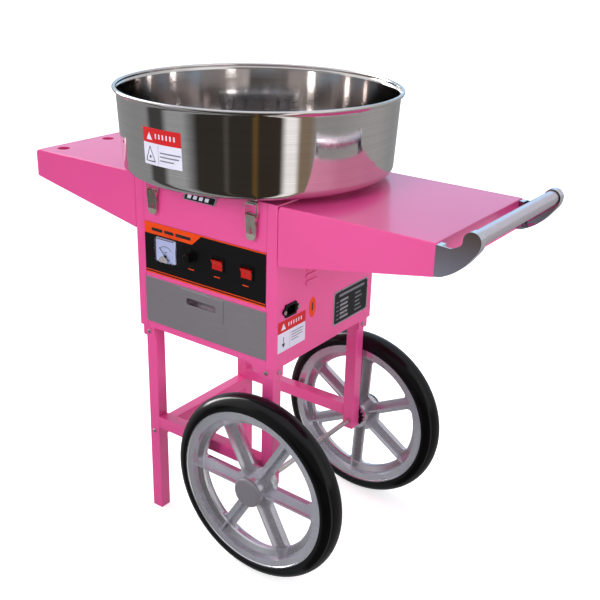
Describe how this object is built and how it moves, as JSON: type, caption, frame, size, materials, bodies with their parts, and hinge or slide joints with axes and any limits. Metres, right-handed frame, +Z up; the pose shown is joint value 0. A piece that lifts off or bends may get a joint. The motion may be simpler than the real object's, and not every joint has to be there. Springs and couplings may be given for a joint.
{
  "type": "cotton candy machine cart",
  "caption": "Cotton candy machine: a spun steel bowl on a pink cabinet with side trays, a push handle, spoked wheels and two standing legs.",
  "frame": {"origin": "on the floor, at the centre of the bounding box", "axes": "+X along the cart towards the push handle, -Y the control side, +Z up"},
  "size_m": [0.962, 0.5208, 0.877],
  "materials": {
    "pink_paint": "gloss powder coat",
    "fascia_film": "satin printed film",
    "polished_chrome": "polished",
    "satin_tube": "satin",
    "bowl_steel": "spun and polished",
    "latch_steel": "nickel plated",
    "fastener_steel": "zinc plated",
    "tyre_rubber": "smooth gloss",
    "rim_plastic": "silver grey moulded",
    "cap_plastic": "silver grey moulded",
    "motor_metal": "grey",
    "head_aluminium": "machined",
    "heater_ceramic": "matt",
    "meter_white": "printed scale",
    "meter_clear": "clear moulded",
    "black_plastic": "satin",
    "switch_red": "translucent red",
    "drawer_steel": "brushed"
  },
  "bodies": {
    "cart": {"left_panel": "pink_paint", "right_panel": "pink_paint", "rear_panel": "pink_paint", "top_plate": "pink_paint", "base_plate": "pink_paint", "front_frame": "pink_paint", "left_tray": "pink_paint", "right_tray": "pink_paint", "leg_front_left": "pink_paint", "leg_rear_left": "pink_paint", "leg_front_right": "pink_paint", "leg_rear_right": "pink_paint", "rail_front": "pink_paint", "rail_rear": "pink_paint", "rail_left": "pink_paint", "corner_brackets": "pink_paint", "fascia": "fascia_film", "handle_bracket_front": "polished_chrome", "handle_bracket_rear": "polished_chrome", "handle_tube": "satin_tube", "bowl": "bowl_steel", "bowl_strikes": "bowl_steel", "latch_bases": "latch_steel", "frame_bolts": "fastener_steel", "axle": "fastener_steel", "motor": "motor_metal", "motor_bracket": "motor_metal", "drawer_runners": "motor_metal", "meter_case": "meter_white", "meter_cover": "meter_clear", "switch_bodies": "black_plastic", "thermostat": "black_plastic", "power_inlet": "black_plastic"},
    "wheel_front": {"tyre_front": "tyre_rubber", "rim_front": "rim_plastic", "hub_cap_front": "cap_plastic"},
    "wheel_rear": {"tyre_rear": "tyre_rubber", "rim_rear": "rim_plastic", "hub_cap_rear": "cap_plastic"},
    "drawer": {"drawer_box": "drawer_steel", "drawer_front": "drawer_steel", "drawer_pull": "drawer_steel"},
    "spinner": {"spinner_shaft": "fastener_steel", "spinner_base": "head_aluminium", "heater_ring": "heater_ceramic", "spinner_band": "head_aluminium", "spinner_cover": "head_aluminium"},
    "knob": {"temp_knob": "black_plastic"},
    "rocker_key_left": {"rocker_left": "switch_red"},
    "rocker_key_right": {"rocker_right": "switch_red"},
    "needle": {"meter_needle": "black_plastic"},
    "latch_front_left": {"lever_front_left": "latch_steel"},
    "loop_front_left": {"bail_front_left": "latch_steel"},
    "latch_front_right": {"lever_front_right": "latch_steel"},
    "loop_front_right": {"bail_front_right": "latch_steel"},
    "latch_rear_left": {"lever_rear_left": "latch_steel"},
    "loop_rear_left": {"bail_rear_left": "latch_steel"},
    "latch_rear_right": {"lever_rear_right": "latch_steel"},
    "loop_rear_right": {"bail_rear_right": "latch_steel"}
  },
  "joints": [
    {"name": "wheel_front_spin", "type": "hinge", "parent": "cart", "child": "wheel_front", "pos_m": [0.1005, -0.18, 0.183], "axis": [0, 1, 0], "continuous": true},
    {"name": "wheel_rear_spin", "type": "hinge", "parent": "cart", "child": "wheel_rear", "pos_m": [0.1005, 0.18, 0.183], "axis": [0, 1, 0], "continuous": true},
    {"name": "drawer_slide", "type": "slide", "parent": "cart", "child": "drawer", "axis": [0, -1, 0], "range_m": [0, 0.2]},
    {"name": "spinner_spin", "type": "hinge", "parent": "cart", "child": "spinner", "pos_m": [-0.0445, 0, 0.76], "axis": [0, 0, 1], "continuous": true},
    {"name": "knob_turn", "type": "hinge", "parent": "cart", "child": "knob", "pos_m": [-0.0715, -0.165, 0.586], "axis": [0, 1, 0], "range_deg": [0, 300]},
    {"name": "rocker_left_tip", "type": "hinge", "parent": "cart", "child": "rocker_key_left", "pos_m": [-0.0095, -0.155, 0.586], "axis": [-1, 0, 0], "range_deg": [0, 20]},
    {"name": "rocker_right_tip", "type": "hinge", "parent": "cart", "child": "rocker_key_right", "pos_m": [0.0565, -0.155, 0.586], "axis": [-1, 0, 0], "range_deg": [0, 20]},
    {"name": "needle_swing", "type": "hinge", "parent": "cart", "child": "needle", "pos_m": [-0.1325, -0.162, 0.5725], "axis": [0, 1, 0], "range_deg": [0, 90]},
    {"name": "latch_front_left_open", "type": "hinge", "parent": "cart", "child": "latch_front_left", "pos_m": [-0.1585, -0.161, 0.695], "axis": [-1, 0, 0], "range_deg": [0, 100]},
    {"name": "loop_front_left_turn", "type": "hinge", "parent": "latch_front_left", "child": "loop_front_left", "pos_m": [-0.1585, -0.1643, 0.6917], "axis": [-1, 0, 0], "range_deg": [-115, 0]},
    {"name": "latch_front_right_open", "type": "hinge", "parent": "cart", "child": "latch_front_right", "pos_m": [0.0695, -0.161, 0.695], "axis": [-1, 0, 0], "range_deg": [0, 100]},
    {"name": "loop_front_right_turn", "type": "hinge", "parent": "latch_front_right", "child": "loop_front_right", "pos_m": [0.0695, -0.1643, 0.6917], "axis": [-1, 0, 0], "range_deg": [-115, 0]},
    {"name": "latch_rear_left_open", "type": "hinge", "parent": "cart", "child": "latch_rear_left", "pos_m": [-0.1585, 0.161, 0.695], "axis": [1, 0, 0], "range_deg": [0, 100]},
    {"name": "loop_rear_left_turn", "type": "hinge", "parent": "latch_rear_left", "child": "loop_rear_left", "pos_m": [-0.1585, 0.1643, 0.6917], "axis": [1, 0, 0], "range_deg": [-115, 0]},
    {"name": "latch_rear_right_open", "type": "hinge", "parent": "cart", "child": "latch_rear_right", "pos_m": [0.0695, 0.161, 0.695], "axis": [1, 0, 0], "range_deg": [0, 100]},
    {"name": "loop_rear_right_turn", "type": "hinge", "parent": "latch_rear_right", "child": "loop_rear_right", "pos_m": [0.0695, 0.1643, 0.6917], "axis": [1, 0, 0], "range_deg": [-115, 0]}
  ],
  "couplings": [
    {"joint": "loop_front_left_turn", "follows": "latch_front_left_open", "ratio": -1.15},
    {"joint": "loop_front_right_turn", "follows": "latch_front_right_open", "ratio": -1.15},
    {"joint": "loop_rear_left_turn", "follows": "latch_rear_left_open", "ratio": -1.15},
    {"joint": "loop_rear_right_turn", "follows": "latch_rear_right_open", "ratio": -1.15}
  ]
}
